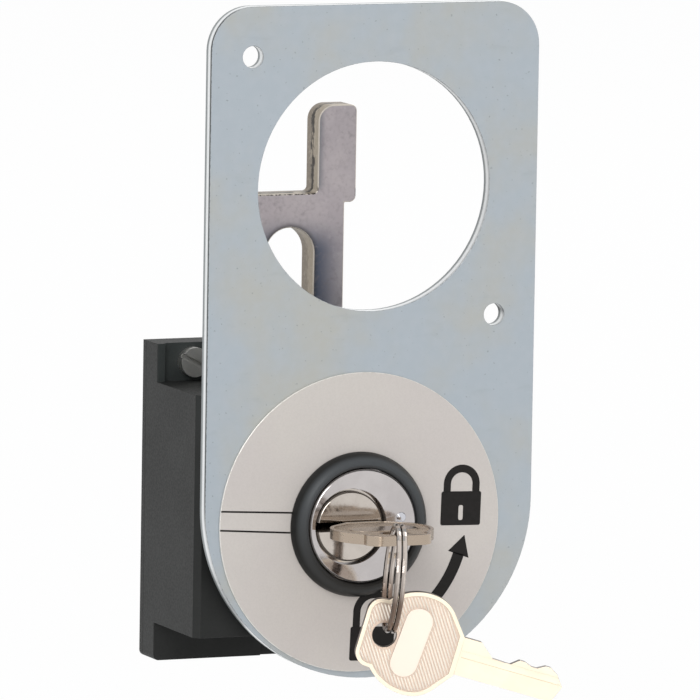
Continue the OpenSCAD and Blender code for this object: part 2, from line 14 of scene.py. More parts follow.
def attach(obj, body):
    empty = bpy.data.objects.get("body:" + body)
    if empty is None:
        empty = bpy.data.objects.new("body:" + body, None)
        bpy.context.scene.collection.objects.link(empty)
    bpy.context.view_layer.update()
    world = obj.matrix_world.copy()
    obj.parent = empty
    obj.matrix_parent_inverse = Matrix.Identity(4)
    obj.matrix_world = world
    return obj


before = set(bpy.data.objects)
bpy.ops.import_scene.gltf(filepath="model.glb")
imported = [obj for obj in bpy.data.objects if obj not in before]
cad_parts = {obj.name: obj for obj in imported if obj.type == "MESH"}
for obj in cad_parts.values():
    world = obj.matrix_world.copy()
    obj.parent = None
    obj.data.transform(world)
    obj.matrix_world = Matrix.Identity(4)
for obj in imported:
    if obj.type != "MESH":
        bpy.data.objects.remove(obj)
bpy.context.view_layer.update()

MM = 0.001

# Where things are on the part, in millimetres
LOCK_AXIS = (-2.6, -69.05)
LABEL_FRONT = -0.5
BEZEL_CREST = (-3.4, -1.9)
KEY_HOLE = (-2.76, -19.9, -69.05)
RING_TURN = math.radians(-17)
RING_LEAN = math.radians(5)
RING_R = 10.6
WIRE_R = 0.55
# Heights over which the wire turns from browner below to bright above as a painted highlight
WIRE_BRIGHT_ABOVE = (-81, -75.5)
SPARE_DIP = math.radians(11)
SPARE_HANG = 0.9
SLIP = 0.15
SLOT_X = -6.5
SLOT_R = 5.3
SLOT_END = -16.75
FINGER_LEFT = -0.45
SHOULDER_Z = -4.5
SLIDE_MIDDLE = 31.9

# The bow of a key, in the key's own plane with the ring hole at the origin
BOW_R = 10.6
BOW_ROUND = 7.0
BOW_AHEAD = 6.8
BOW_REACH = 15.8
LOBE_HALF = 7.1
LOBE_REACH = 4.75
LOBE_CORNER = 3.0
SHOULDER = 4.0
TAPER = 1.25
HOLE_R = 2.5
BOW_HALF_T = 1.05
FIELD_D = 0.2
FIELD_INSET = 0.92
PAD_AT = 5.7
PAD_HALF = (2.8, 7.2)
PAD_TURN = math.radians(-4)
GROOVE_ASIDE = 0.2

# The rolled ridges of a bow and how far they keep from the pad and from the ring hole
RIDGE_PITCH = 0.62
RIDGE_W = 0.36
RIDGE_H = 0.17
RIDGE_ROOT = 0.02
RIDGE_ANGLE = math.radians(-56)
RIDGE_LINES = 24
RIDGE_REACH = 14
RIDGE_STEP = 0.1
RIDGE_SHORTEST = 6
PAD_CLEAR = 0.15
HOLE_CLEAR = 0.4

# The ring's centre below and ahead of the key's hole, as its wire threads the hole
RING_DROP = 0.66 * (RING_R + WIRE_R)
RING_AHEAD = math.sqrt((RING_R + WIRE_R) ** 2 - (RING_DROP - BOW_HALF_T) ** 2) - HOLE_R + 2 * SLIP

# Where the two keys are, from a key's own plane to the part's frame, in millimetres
at_hole = Matrix.Translation(KEY_HOLE)
in_lock = at_hole @ Matrix(((0, 1, 0, 0), (1, 0, 0, 0), (0, 0, -1, 0), (0, 0, 0, 1)))
on_ring = (at_hole @ Matrix.Rotation(RING_TURN, 4, "Z") @ Matrix.Rotation(RING_LEAN, 4, "Y")
           @ Matrix.Translation((0, -RING_AHEAD, -RING_DROP)))
hanging = (on_ring @ Matrix.Translation((-SPARE_HANG, 0, -RING_R - SPARE_HANG))
           @ Matrix.Rotation(SPARE_DIP, 4, "Y") @ Matrix.Rotation(math.pi / 2, 4, "X"))


# Helpers for the materials

# Settings of a value range that eases in and out and holds at both ends
EASED = {"interpolation_type": "SMOOTHSTEP"}


def linear(code):
    """Gives the linear colour of an sRGB hex code such as b4bcc3."""
    channels = [int(code[i:i + 2], 16) / 255 for i in (0, 2, 4)]
    bent = [c / 12.92 if c <= 0.04045 else ((c + 0.055) / 1.055) ** 2.4 for c in channels]
    return (*bent, 1.0)


def add(tree, kind, inputs=(), out=0, **settings):
    """Adds one node with its settings, sets or links its inputs, and returns one output or all of them.

    The inputs are given in order or by name or number, and out None returns all outputs.
    """
    node = tree.nodes.new("ShaderNode" + kind)
    for name, value in settings.items():
        setattr(node, name, value)
    for key, value in inputs.items() if isinstance(inputs, dict) else enumerate(inputs):
        if isinstance(value, bpy.types.NodeSocket):
            tree.links.new(value, node.inputs[key])
        else:
            node.inputs[key].default_value = value
    return node.outputs if out is None else node.outputs[out]


def new_material(name):
    """Starts a material: the material, its tree, and the coordinates and normals that it can read."""
    mat = bpy.data.materials.new(name)
    mat.use_nodes = True
    tree = mat.node_tree
    tree.nodes.clear()
    return mat, tree, add(tree, "TexCoord", out=None)


def finished(mat, tree, look):
    """Closes a material with one principled shader, whose inputs are given by name."""
    add(tree, "OutputMaterial", (add(tree, "BsdfPrincipled", look),), out=None)
    return mat


def grain_scale(size):
    """The noise scale that gives features about size millimetres across."""
    return 1 / (size * MM)


def coats(tree, first, layers):
    """Lays colours over a first one, each by its share from 0 to 1; a colour is a hex code or a socket."""
    tone = first
    for share, colour in layers:
        below, above = [linear(c) if isinstance(c, str) else c for c in (tone, colour)]
        tone = add(tree, "Mix", {0: share, 6: below, 7: above}, out=2, data_type="RGBA")
    return tone


def side_share(tree, normal):
    """Is 1 on walls that run along the lock's axis, such as a plate's cut edge, and 0 on flat faces."""
    forward = add(tree, "SeparateXYZ", (normal,), out=1)
    square_on = add(tree, "Math", (forward,), operation="ABSOLUTE")
    return add(tree, "MapRange", (square_on, 0.55, 0.8, 1.0, 0.0), **EASED)


def line_at(tree, value, middle, half):
    """Is 1 near a value and falls to 0 at half a width away."""
    off = add(tree, "Math", (value, middle), operation="SUBTRACT")
    away = add(tree, "Math", (off,), operation="ABSOLUTE")
    return add(tree, "MapRange", (away, 0.35 * half, half, 1.0, 0.0), **EASED)


def along(tree, at, direction, spot):
    """How far a place lies along a direction, counted from a spot."""
    reach = add(tree, "VectorMath", (at, direction), out="Value", operation="DOT_PRODUCT")
    return add(tree, "Math", (reach, direction.dot(spot)), operation="SUBTRACT")


# Materials

def zinc_plate():
    """Blue-passivated zinc on rolled steel sheet, sheared to shape.

    It gives the eye a cool grey with warm clouds, dark specks and scuffs that lie across. The cut
    edge is white with a grey back, and its front has a dark burr, most on the left and high up.
    """
    mat, tree, coords = new_material("blue_zinc_plated_steel")
    at = coords["Object"]
    clouds = add(tree, "TexNoise", {"Vector": at, "Scale": grain_scale(30), "Detail": 4, "Roughness": 0.55})
    fine = add(tree, "TexNoise", {"Vector": at, "Scale": grain_scale(2.4), "Detail": 3, "Roughness": 0.6})
    drawn = add(tree, "Mapping", {"Vector": at, "Scale": (0.3, 1, 1)})
    scuff = add(tree, "TexNoise", {"Vector": drawn, "Scale": grain_scale(3.2), "Detail": 3, "Roughness": 0.6})
    speck = add(tree, "TexNoise", {"Vector": at, "Scale": grain_scale(0.67), "Detail": 1, "Roughness": 0.5})
    across, depth, height = add(tree, "SeparateXYZ", (at,), out=None)
    burr = add(tree, "MapRange", (depth, 0.5 * MM, 0.9 * MM, 1.0, 0.0), **EASED)
    high = add(tree, "MapRange", (height, -75 * MM, -60 * MM, 0.2, 1.0), **EASED)
    left = add(tree, "MapRange", (across, -32 * MM, -29 * MM, 1.0, 0.35), **EASED)
    burr = add(tree, "Math", (burr, high), operation="MULTIPLY")
    burr = add(tree, "Math", (burr, left), operation="MULTIPLY")
    cut = coats(tree, "eef0f0", (
        (add(tree, "MapRange", (depth, 1.6 * MM, 2.3 * MM), **EASED), "8e9394"),
        (burr, "3c4043")))
    tone = coats(tree, "b1bac1", (
        (add(tree, "MapRange", (clouds, 0.42, 0.68), **EASED), "b8b9b4"),
        (add(tree, "MapRange", (fine, 0.35, 0.75, 0.0, 0.22), **EASED), "c6ccd2"),
        (add(tree, "MapRange", (scuff, 0.58, 0.76, 0.0, 0.13), **EASED), "8f979c"),
        (add(tree, "MapRange", (speck, 0.7, 0.76, 0.0, 0.45), **EASED), "757c80"),
        (side_share(tree, coords["Normal"]), cut)))
    return finished(mat, tree, {
        "Base Color": tone,
        "Metallic": 0.55,
        "Roughness": add(tree, "MapRange", (fine, 0.3, 0.7, 0.4, 0.52), **EASED),
        "Normal": add(tree, "Bump", {"Strength": 0.12, "Distance": 0.05 * MM, "Height": fine})})


def satin_label():
    """Satin film, die-cut to a disc.

    It gives the eye a warm pale grey with an even, very fine grain, a soft sheen and a lighter edge.
    """
    mat, tree, coords = new_material("satin_label_film")
    at = coords["Object"]
    clouds = add(tree, "TexNoise", {"Vector": at, "Scale": grain_scale(25), "Detail": 3, "Roughness": 0.5})
    # The film's real grain is finer; it is drawn as coarse as it needs to show
    grain = add(tree, "TexNoise", {"Vector": at, "Scale": grain_scale(0.38), "Detail": 2, "Roughness": 0.6})
    tone = coats(tree, "d1cac5", (
        (add(tree, "MapRange", (clouds, 0.35, 0.7), **EASED), "d4cec7"),
        (add(tree, "MapRange", (grain, 0.3, 0.75, 0.0, 0.18), **EASED), "bdb7b0"),
        (side_share(tree, coords["Normal"]), "e2e0d9")))
    return finished(mat, tree, {
        "Base Color": tone,
        "Metallic": 0.15,
        "Roughness": add(tree, "MapRange", (grain, 0.3, 0.7, 0.42, 0.5), **EASED),
        "Normal": add(tree, "Bump", {"Strength": 0.08, "Distance": 0.02 * MM, "Height": grain})})


def printed_ink():
    """Screen-printed ink: it gives the eye a warm near-black with a dull, broken gloss."""
    mat, tree, coords = new_material("black_print_ink")
    at = coords["Object"]
    patch = add(tree, "TexNoise", {"Vector": at, "Scale": grain_scale(1.1), "Detail": 3, "Roughness": 0.6})
    tone = coats(tree, "1b1917", ((add(tree, "MapRange", (patch, 0.3, 0.7), **EASED), "242120"),))
    return finished(mat, tree, {
        "Base Color": tone,
        "Roughness": add(tree, "MapRange", (patch, 0.3, 0.7, 0.5, 0.65), **EASED),
        "Specular IOR Level": 0.2,
        "Normal": add(tree, "Bump", {"Strength": 0.1, "Distance": 0.01 * MM, "Height": patch})})


def moulded_plastic(name, dark, light, matt, grain_size, grain_depth, crest=None, painted_light_from=None):
    """Moulded plastic: it gives the eye one grey with faint flow clouds and a fine matt grain.

    The least and greatest roughness are given as matt. A crest, as a low and a high colour, is a
    painted highlight that makes it paler towards the front of the part, and painted light from above
    makes it palest on its upper side. With its last argument, a height in millimetres, painted light
    greys the faces above it that look forward, against the shade in the pockets there, and all that look up
    have less gloss.
    """
    mat, tree, coords = new_material(name)
    at = coords["Object"]
    clouds = add(tree, "TexNoise", {"Vector": at, "Scale": grain_scale(17), "Detail": 3, "Roughness": 0.5})
    # The mould's real grain is finer; it is drawn as coarse as it needs to show
    grain = add(tree, "TexNoise",
                {"Vector": at, "Scale": grain_scale(grain_size), "Detail": 2, "Roughness": 0.6})
    layers = [
        (add(tree, "MapRange", (clouds, 0.3, 0.7), **EASED), light),
        (add(tree, "MapRange", (grain, 0.45, 0.8, 0.0, 0.2), **EASED), light)]
    if crest:
        place = add(tree, "SeparateXYZ", (at,), out=None)
        foot = (LOCK_AXIS[1] - 13) * MM
        top = (LOCK_AXIS[1] + 9) * MM
        # Painted light from above: the crest pales towards its upper side
        lit_from_above = add(tree, "MapRange", (place["Z"], foot, top), **EASED)
        # Painted highlight: the crest pales towards the front of the part
        crest_highlight = add(tree, "MapRange",
                     (place["Y"], BEZEL_CREST[0] * MM, BEZEL_CREST[1] * MM, 1.0, 0.0), **EASED)
        layers.append((crest_highlight, coats(tree, crest[0], ((lit_from_above, crest[1]),))))
    gloss = 0.28
    if painted_light_from is not None:
        # Painted light in the upper pockets, against their shade, and less gloss on faces that look up
        facing = add(tree, "SeparateXYZ", (coords["Normal"],), out=None)
        height = add(tree, "SeparateXYZ", (at,), out=2)
        forward = add(tree, "MapRange", (facing["Y"], -0.9, -0.6, 1.0, 0.0), **EASED)
        high = add(tree, "MapRange", (height, (painted_light_from - 10) * MM, painted_light_from * MM), **EASED)
        layers.append((add(tree, "Math", (forward, high), operation="MULTIPLY"), "343837"))
        gloss = add(tree, "MapRange", (facing["Z"], 0.6, 0.9, gloss, 0.12), **EASED)
    return finished(mat, tree, {
        "Base Color": coats(tree, dark, layers),
        "Roughness": add(tree, "MapRange", (grain, 0.3, 0.7, *matt), **EASED),
        "Specular IOR Level": gloss,
        "Normal": add(tree, "Bump", {"Strength": 0.25, "Distance": grain_depth * MM, "Height": grain})})


def key_layers(tree, coords, placing, field_tint, side_shading_tint, pad_tint):
    """Coats for a key at a placing.

    One tint is for its pad, one for the sunk field of its bow, which lies nearer to the key's middle
    plane than its flat faces do, and one is painted light and shade on its sides and its hole: a darker
    tint there is painted shade and a paler one painted light. The groove of its blade, about
    GROOVE_ASIDE beside the middle line, takes little of the last.
    """
    at = coords["Object"]
    long_axis, up, out_of_plane = placing.to_3x3().col
    spot = placing.translation * MM
    ahead = along(tree, at, long_axis, spot)
    beside = along(tree, at, up, spot)
    off_plane = add(tree, "Math", (along(tree, at, out_of_plane, spot),), operation="ABSOLUTE")
    on_bow = add(tree, "MapRange",
                 (ahead, (BOW_REACH - 0.2) * MM, (BOW_REACH + 0.2) * MM, 1.0, 0.0), **EASED)

    past_pad = add(tree, "Math", (ahead, PAD_AT * MM), operation="SUBTRACT")
    past_pad = add(tree, "Math", (past_pad,), operation="ABSOLUTE")
    past_pad = add(tree, "MapRange",
                   (past_pad, (PAD_HALF[0] + 0.1) * MM, (PAD_HALF[0] + 0.6) * MM, 1.0, 0.0), **EASED)
    aside = add(tree, "Math", (beside,), operation="ABSOLUTE")
    aside = add(tree, "MapRange", (aside, PAD_HALF[1] * MM, (PAD_HALF[1] + 0.3) * MM, 1.0, 0.0), **EASED)
    pad = add(tree, "Math", (past_pad, aside), operation="MULTIPLY")

    # The field lies 0.85 mm from the middle plane and the flat faces 1.05 mm
    sunk = add(tree, "MapRange", (off_plane, 0.88 * MM, 0.98 * MM, 1.0, 0.0), **EASED)
    field = add(tree, "Math", (on_bow, sunk), operation="MULTIPLY")

    # Painted light and shade on the sides and the hole, in the side tint
    facing = add(tree, "VectorMath", (coords["Normal"], out_of_plane), out="Value", operation="DOT_PRODUCT")
    facing = add(tree, "Math", (facing,), operation="ABSOLUTE")
    facing = add(tree, "MapRange", (facing, 0.3, 0.85, 1.0, 0.0), **EASED)
    groove = add(tree, "Math", (beside, GROOVE_ASIDE * MM), operation="SUBTRACT")
    groove = add(tree, "Math", (groove,), operation="ABSOLUTE")
    groove = add(tree, "MapRange", (groove, 0.5 * MM, 0.8 * MM, 0.15, 1.0), **EASED)
    clear = add(tree, "Math", (on_bow, groove), operation="MAXIMUM")
    side_shading = add(tree, "Math", (facing, clear), operation="MULTIPLY")
    return [(pad, pad_tint), (field, field_tint), (side_shading, side_shading_tint)]


def plated_metal(name, first, second, polish, cloud_size, stain=None, gap_shade=None, key=None):
    """Plated or bare metal: it gives the eye two close tones in clouds, wear marks and an uneven polish.

    The least and greatest roughness are given as polish. A gap colour is painted shade on the walls
    that run along the lock's axis, and dulls them. A key, as its placing and three tints, gets the coats of
    key_layers.
    """
    mat, tree, coords = new_material(name)
    at = coords["Object"]
    clouds = add(tree, "TexNoise",
                 {"Vector": at, "Scale": grain_scale(cloud_size), "Detail": 4, "Roughness": 0.55})
    marks = add(tree, "TexNoise", {"Vector": at, "Scale": grain_scale(0.55), "Detail": 3, "Roughness": 0.6})
    metallic = 1.0
    layers = [
        (add(tree, "MapRange", (clouds, 0.32, 0.7), **EASED), second),
        (add(tree, "MapRange", (marks, 0.6, 0.82, 0.0, 0.25), **EASED), stain or first)]
    if gap_shade:
        # Painted shade: walls that run along the lock's axis take the gap colour
        walls = side_share(tree, coords["Normal"])
        layers.append((walls, gap_shade))
        dull = add(tree, "Math", (walls, 0.85), operation="MULTIPLY")
        metallic = add(tree, "Math", (1.0, dull), operation="SUBTRACT")
    if key:
        layers += key_layers(tree, coords, *key)
    return finished(mat, tree, {
        "Base Color": coats(tree, first, layers),
        "Metallic": metallic,
        "Roughness": add(tree, "MapRange", (marks, 0.3, 0.75, *polish), **EASED),
        "Normal": add(tree, "Bump", {"Strength": 0.1, "Distance": 0.02 * MM, "Height": marks})})


def split_ring_wire():
    """Nickel-plated spring wire, coiled and ground.

    It gives the eye wire made bright above by a painted highlight and browner below, with painted
    shade on the faces that look along the ring's axis, which darkens the wire's sides and the space between
    the two turns.
    """
    mat, tree, coords = new_material("nickel_plated_wire")
    at = coords["Object"]
    drawn = add(tree, "Mapping", {"Vector": at, "Scale": (1, 1, 0.4)})
    marks = add(tree, "TexNoise", {"Vector": drawn, "Scale": grain_scale(0.9), "Detail": 3, "Roughness": 0.6})
    height = add(tree, "SeparateXYZ", (at,), out=2)
    sideways = add(tree, "Math", (add(tree, "SeparateXYZ", (coords["Normal"],)),), operation="ABSOLUTE")
    # Painted highlight above, and painted shade on the faces that look along the ring's axis
    tone = coats(tree, "7c6a5e", (
        (add(tree, "MapRange", (height, WIRE_BRIGHT_ABOVE[0] * MM, WIRE_BRIGHT_ABOVE[1] * MM), **EASED), "cdc3bb"),
        (add(tree, "MapRange", (marks, 0.5, 0.75, 0.0, 0.4), **EASED), "75685e"),
        (add(tree, "MapRange", (sideways, 0.42, 0.88, 0.0, 0.8), **EASED), "4a3f38")))
    return finished(mat, tree, {
        "Base Color": tone,
        "Metallic": 1.0,
        "Roughness": add(tree, "MapRange", (marks, 0.3, 0.75, 0.08, 0.16), **EASED),
        "Normal": add(tree, "Bump", {"Strength": 0.1, "Distance": 0.02 * MM, "Height": marks})})


def sheared_slide():
    """Yellow-tinged zinc on a blanked steel bar.

    It gives the eye mottled mauve-grey faces, with painted shade, darker and bluer, beside the slot,
    along its rim and along the finger's left side, and tan cut edges, darker behind, with a torn dark crack
    in their middle.
    """
    mat, tree, coords = new_material("zinc_plated_bar")
    at = coords["Object"]
    clouds = add(tree, "TexNoise", {"Vector": at, "Scale": grain_scale(11), "Detail": 4, "Roughness": 0.6})
    fine = add(tree, "TexNoise", {"Vector": at, "Scale": grain_scale(0.77), "Detail": 3, "Roughness": 0.6})
    blotch = add(tree, "TexNoise", {"Vector": at, "Scale": grain_scale(3), "Detail": 4, "Roughness": 0.65})
    drawn = add(tree, "Mapping", {"Vector": at, "Scale": (1, 1.6, 0.45)})
    torn = add(tree, "TexNoise", {"Vector": drawn, "Scale": grain_scale(2.4), "Detail": 3, "Roughness": 0.65})
    across, depth, height = add(tree, "SeparateXYZ", (at,), out=None)

    # Distance from the middle line of the slot, and round the centre of its upper end
    aside = add(tree, "Math", (across, SLOT_X * MM), operation="SUBTRACT")
    above = add(tree, "Math", (height, SLOT_END * MM), operation="SUBTRACT")
    above = add(tree, "Math", (above, 0.0), operation="MAXIMUM")
    flat = add(tree, "CombineXYZ", (aside, above, 0.0))
    far = add(tree, "VectorMath", (flat,), out="Value", operation="LENGTH")

    # Painted shade: darker and bluer on the leg beside the slot, darkest on the slot's rim and along the
    # finger's left side
    leg_shade = add(tree, "Math", (
        add(tree, "MapRange", (far, SLOT_R * MM, (SLOT_R + 7.4) * MM, 1.0, 0.15), **EASED),
        add(tree, "MapRange", (height, SLOT_END * MM, (SLOT_END + 9) * MM, 1.0, 0.0), **EASED)),
        operation="MULTIPLY")
    slot_rim_shade = add(tree, "MapRange", (far, SLOT_R * MM, (SLOT_R + 1.3) * MM, 0.8, 0.0), **EASED)
    finger_shade = add(tree, "Math", (
        add(tree, "MapRange", (across, FINGER_LEFT * MM, (FINGER_LEFT + 1.8) * MM, 0.7, 0.0), **EASED),
        add(tree, "MapRange", (height, SHOULDER_Z * MM, (SHOULDER_Z + 2) * MM), **EASED)),
        operation="MULTIPLY")

    # The crack wanders in depth and shows most above the shoulder
    wander = add(tree, "MapRange", (blotch, 0.3, 0.7, -0.7 * MM, 0.7 * MM), **EASED)
    inside = add(tree, "Math", (depth, wander), operation="ADD")
    broken = add(tree, "MapRange", (torn, 0.42, 0.5), **EASED)
    upper = add(tree, "MapRange", (height, (SHOULDER_Z - 3) * MM, SHOULDER_Z * MM, 0.35, 1.0), **EASED)
    crack = line_at(tree, inside, SLIDE_MIDDLE * MM, 1.2 * MM)
    crack = add(tree, "Math", (crack, broken), operation="MULTIPLY")
    crack = add(tree, "Math", (crack, upper), operation="MULTIPLY")
    cut = coats(tree, "a29684", (
        (add(tree, "MapRange", (inside, SLIDE_MIDDLE * MM, (SLIDE_MIDDLE + 1.2) * MM), **EASED), "83786a"),
        (add(tree, "MapRange", (fine, 0.45, 0.75, 0.0, 0.35), **EASED), "dad1c2"),
        (crack, "30281f")))

    tone = coats(tree, "b7aeb1", (
        (add(tree, "MapRange", (clouds, 0.35, 0.68), **EASED), "c3babb"),
        # Painted shade in the next three coats
        (leg_shade, "525a6c"),
        (slot_rim_shade, "3d3b3c"),
        (finger_shade, "6a6f76"),
        (add(tree, "MapRange", (blotch, 0.55, 0.72, 0.0, 0.4), **EASED), "7c7679"),
        (add(tree, "MapRange", (blotch, 0.28, 0.44, 0.22, 0.0), **EASED), "d0c8ca"),
        (add(tree, "MapRange", (fine, 0.45, 0.8, 0.0, 0.3), **EASED), "8f8688"),
        (side_share(tree, coords["Normal"]), cut)))
    return finished(mat, tree, {
        "Base Color": tone,
        "Metallic": 0.5,
        "Roughness": add(tree, "MapRange", (fine, 0.3, 0.7, 0.38, 0.52), **EASED),
        "Normal": add(tree, "Bump", {"Strength": 0.15, "Distance": 0.04 * MM, "Height": fine})})


def worn_edge(name, bright, dark, share, dirty_at=None):
    """A rubbed edge: it gives the eye a bright line broken by darker specks.

    The share is the part of the edge that stays bright. With dirty_at, a height in millimetres, the
    specks keep to edges near that height.
    """
    mat, tree, coords = new_material(name)
    at = coords["Object"]
    specks = add(tree, "TexNoise", {"Vector": at, "Scale": grain_scale(0.9), "Detail": 3, "Roughness": 0.65})
    dirt = add(tree, "MapRange", (specks, share - 0.06, share + 0.06), **EASED)
    if dirty_at is not None:
        height = add(tree, "SeparateXYZ", (at,), out=2)
        near = line_at(tree, height, dirty_at * MM, 1.6 * MM)
        dirt = add(tree, "Math", (dirt, near), operation="MULTIPLY")
    return finished(mat, tree, {
        "Base Color": coats(tree, bright, ((dirt, dark),)),
        "Metallic": 0.7,
        "Roughness": add(tree, "MapRange", (specks, 0.3, 0.7, 0.3, 0.45), **EASED)})


ink = printed_ink()

# Moulded black plastic: a soft sheen, with a painted highlight that greys the bezel's crest, most on its
# upper side as painted light from above
black_plastic = moulded_plastic("black_moulded_plastic", "0d0e0e", "141515", (0.32, 0.42), 0.33, 0.015,
                                crest=("2b2a28", "45484a"))
# Moulded plastic with a coarser grain: flat dark grey, with painted light that greys the upper pockets
grey_plastic = moulded_plastic("dark_grey_moulded_plastic", "1d1e1d", "262726", (0.5, 0.62), 0.45, 0.03,
                               painted_light_from=-45)
# Polished chrome plate: a clear cool mirror, with painted shade in dull brown-grey on the walls of its gaps
chrome = plated_metal("chrome_plate", "bcb7b6", "c6c1c0", (0.07, 0.13), 8, stain="aaa5a4", gap_shade="6a635d")
# Ground hardened steel: a small bluish mirror
hard_steel = plated_metal("hardened_steel", "b9bac2", "cfd0d6", (0.1, 0.16), 3.3)
# Nickel plate on turned brass: a warm mirror, with painted shade in dull brown in the keyway
nickel_brass = plated_metal("nickel_plated_brass", "bfb7af", "cac2ba", (0.06, 0.12), 5,
                            stain="a69c92", gap_shade="8a7f75")
# Turned brass: yellow with a satin sheen
brass = plated_metal("turned_brass", "b59a5c", "c4ab70", (0.25, 0.35), 3.3)
# Drawn spring steel: plain grey with a satin sheen
spring_steel = plated_metal("spring_steel", "8f9194", "a2a4a6", (0.3, 0.4), 3.3)
# Stamped nickel silver, painted as lit: cream white, pinker on the sunk field, with painted shade that
# darkens its sides
lit_key_nickel = plated_metal("nickel_silver_painted_lit", "f8ead5", "fbefda", (0.3, 0.36), 4.2, stain="f2e2cc",
                          key=(hanging, "d2bfb0", "6e655e", "f1e3d7"))
# Rolled nickel silver, painted as lit: the whiter tops of the spare key's ridges, whiter as a painted
# highlight
lit_ridge_nickel = plated_metal("rolled_nickel_silver_painted_lit", "fdf5ea", "fff9ef", (0.3, 0.36), 4.2, stain="f5eadd")
# Nickel silver, painted as shaded: tan grey, darker on the sunk field, with painted light that pales its
# sides
shaded_key_nickel = plated_metal("nickel_silver_painted_shaded", "a8998b", "b5a799", (0.2, 0.3), 4.2, stain="998b7e",
                               key=(in_lock, "9c8c7d", "b3a494", "a8998b"))
# Zinc plate on steel: even grey with a dull sheen
zinc_steel = plated_metal("zinc_plated_steel", "a7a9a8", "b6b6b0", (0.35, 0.45), 6.7)
# Zinc on screws: pale grey with darker wear; the pale grey is painted light against the shade that the screws
# sit in
screw_steel = plated_metal("zinc_plated_screw", "dad8d4", "e6e4e0", (0.3, 0.4), 3.8, stain="a5a29c")

FINISH = {
    "front_plate": zinc_plate(),
    "label_disc": satin_label(),
    "bezel_ring": black_plastic,
    "lock_barrel": chrome,
    "drill_pin": hard_steel,
    "lock_plug": nickel_brass,
    "key_pins": brass,
    "driver_pins": brass,
    "tumbler_springs": spring_steel,
    "chamber_cover": brass,
    "lock_key": shaded_key_nickel,
    "key_ring": split_ring_wire(),
    "spare_key": lit_key_nickel,
    "spacer_ring": black_plastic,
    "housing": grey_plastic,
    "nut_washer": zinc_steel,
    "ring_nut": zinc_steel,
    "rear_cover": grey_plastic,
    "cover_screws": screw_steel,
    "locking_slide": sheared_slide(),
    "drive_cam": zinc_steel,
    "drive_pin": hard_steel,
    "cam_washer": zinc_steel,
    "cam_screw": screw_steel,
}

# Width of the softened edge on each node that shows one, in millimetres
EDGE_BREAK = {
    "front_plate": 0.22,
    "label_disc": 0.14,
    "lock_barrel": 0.12,
    "lock_plug": 0.1,
    "lock_key": 0.16,
    "spare_key": 0.2,
    "housing": 0.25,
    "rear_cover": 0.25,
    "cover_screws": 0.12,
    "locking_slide": 0.4,
    "drive_cam": 0.15,
}

# Edges with a finish of their own, by node
RUBBED = {
    # Sheared zinc: a grey line with darker specks
    "front_plate": worn_edge("rubbed_zinc_edge", "a7adb0", "767c7f", 0.52),
    # Blanked bar: a cream line, with dark dirt at the shoulder
    "locking_slide": worn_edge("rubbed_bar_edge", "cfc7bc", "453e3c", 0.48, dirty_at=SHOULDER_Z),
    # Die-cut film: a pale line
    "label_disc": worn_edge("cut_film_edge", "e9e6e0", "d6d2cb", 0.55),
}


def finish_nodes():
    """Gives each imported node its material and, where the eye sees them, softened edges.

    A node's loose triangles are joined and its flat faces made whole before its edges are broken.
    """
    for name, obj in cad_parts.items():
        for slot in obj.material_slots:
            slot.material = FINISH[name]
        if name not in EDGE_BREAK:
            continue
        weld = obj.modifiers.new("weld", "WELD")
        weld.merge_threshold = 0.002 * MM
        whole = obj.modifiers.new("whole_faces", "DECIMATE")
        whole.decimate_type = "DISSOLVE"
        whole.angle_limit = math.radians(0.5)
        bevel = obj.modifiers.new("edge_break", "BEVEL")
        bevel.width = EDGE_BREAK[name] * MM
        bevel.segments = 2
        bevel.limit_method = "ANGLE"
        bevel.angle_limit = math.radians(35)
        if name in RUBBED:
            obj.data.materials.append(RUBBED[name])
            bevel.material = len(obj.data.materials) - 1
        even = obj.modifiers.new("even_shading", "WEIGHTED_NORMAL")
        even.weight = 80


finish_nodes()


# Pieces

def new_piece(name, points, faces, material, body):
    """Makes a mesh from rows of points in millimetres and lets it ride on a body."""
    mesh = bpy.data.meshes.new(name)
    mesh.from_pydata((points * MM).tolist(), [], faces)
    mesh.update()
    obj = bpy.data.objects.new(name, mesh)
    bpy.context.scene.collection.objects.link(obj)
    mesh.materials.append(material)
    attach(obj, body)
    return obj


def sweep_faces(steps, sides, loop=False):
    """Faces of a sweep whose every row of points is a closed section: an array of quads and one of caps.

    Quad (i, k) joins points k and k + 1 of row i to the same two of the next row. A loop joins the
    last row to the first; without one the first and the last section are closed by a cap each.
    """
    i, k = np.meshgrid(np.arange(steps if loop else steps - 1), np.arange(sides), indexing="ij")
    here = i * sides
    ahead = (i + 1) % steps * sides
    beside = (k + 1) % sides
    quads = np.stack((here + k, here + beside, ahead + beside, ahead + k), -1).reshape(-1, 4)
    section = np.arange(sides)
    caps = np.stack((section[::-1], section + (steps - 1) * sides))
    return quads, caps[:0] if loop else caps


# Printed signs on the label

def ink_strip(left, right, loop=False):
    """A printed band between two rows of (x, z) points, on the left and right as it runs.

    Its section at each step is a thin box: left front, right front, right back, left back.
    """
    thickness = 0.03
    section = np.stack((left, right, right, left), 1)
    front = LABEL_FRONT - thickness
    back = LABEL_FRONT + thickness / 3
    depth = np.broadcast_to((front, front, back, back), section.shape[:2])
    points = np.stack((section[..., 0], depth, section[..., 1]), -1).reshape(-1, 3)
    return points, sweep_faces(len(left), 4, loop)


def print_sign(name, strips):
    """Prints bands as one sign: their points in one array, each band's faces counted on from the last."""
    points = np.concatenate([strip[0] for strip in strips])
    faces = []
    start = 0
    for corners, (quads, caps) in strips:
        faces += (quads + start).tolist() + (caps + start).tolist()
        start += len(corners)
    new_piece(name, points, faces, ink, "base")


def polar(angles, radius):
    """Points at angles in degrees and a radius about the lock's axis."""
    turn = np.radians(angles)
    return np.stack((LOCK_AXIS[0] + radius * np.cos(turn), LOCK_AXIS[1] + radius * np.sin(turn)), -1)


